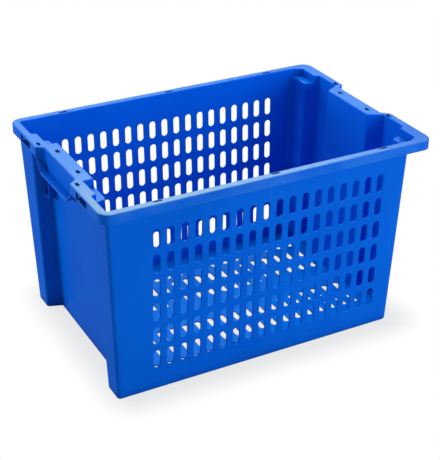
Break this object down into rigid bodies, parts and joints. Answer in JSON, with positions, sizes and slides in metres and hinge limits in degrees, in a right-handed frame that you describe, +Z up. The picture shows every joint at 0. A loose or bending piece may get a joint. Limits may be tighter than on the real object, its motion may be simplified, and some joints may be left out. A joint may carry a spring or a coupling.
{
  "type": "perforated nesting crate",
  "caption": "Open plastic harvest crate with slotted long walls and base, offset feet and ledges to nest or stack, and a handle at each end.",
  "frame": {"origin": "middle of the base, on the surface that the crate stands on", "axes": "+X along the crate towards the end whose feet stand beside the middle bay, +Y towards the rear long wall, +Z up"},
  "size_m": [0.6, 0.4, 0.35],
  "materials": {
    "crate_plastic": "fine-grained moulded polyethylene with a soft sheen"
  },
  "bodies": {
    "root": {"base_grid": "crate_plastic", "front_base_edge": "crate_plastic", "front_rim_rail": "crate_plastic", "front_wall": "crate_plastic", "left_bay_panel": "crate_plastic", "left_front_corner": "crate_plastic", "left_front_foot": "crate_plastic", "left_front_ledge": "crate_plastic", "left_front_ledge_bracket": "crate_plastic", "left_front_return": "crate_plastic", "left_front_rim_corner": "crate_plastic", "left_front_rim_shoulder": "crate_plastic", "left_front_sole": "crate_plastic", "left_grip_lip": "crate_plastic", "left_grip_panel": "crate_plastic", "left_rear_corner": "crate_plastic", "left_rear_foot": "crate_plastic", "left_rear_ledge": "crate_plastic", "left_rear_ledge_bracket": "crate_plastic", "left_rear_return": "crate_plastic", "left_rear_rim_corner": "crate_plastic", "left_rear_rim_shoulder": "crate_plastic", "left_rear_sole": "crate_plastic", "left_rim_bridge": "crate_plastic", "rear_base_edge": "crate_plastic", "rear_rim_rail": "crate_plastic", "rear_wall": "crate_plastic", "right_bay_panel": "crate_plastic", "right_front_corner": "crate_plastic", "right_front_foot": "crate_plastic", "right_front_inner_return": "crate_plastic", "right_front_ledge": "crate_plastic", "right_front_ledge_bracket": "crate_plastic", "right_front_outer_return": "crate_plastic", "right_front_rim_corner": "crate_plastic", "right_front_rim_shoulder": "crate_plastic", "right_front_shoulder": "crate_plastic", "right_front_sole": "crate_plastic", "right_grip_lip": "crate_plastic", "right_grip_panel": "crate_plastic", "right_rear_corner": "crate_plastic", "right_rear_foot": "crate_plastic", "right_rear_inner_return": "crate_plastic", "right_rear_ledge": "crate_plastic", "right_rear_ledge_bracket": "crate_plastic", "right_rear_outer_return": "crate_plastic", "right_rear_rim_corner": "crate_plastic", "right_rear_rim_shoulder": "crate_plastic", "right_rear_shoulder": "crate_plastic", "right_rear_sole": "crate_plastic", "right_rim_bridge": "crate_plastic"}
  },
  "joints": []
}
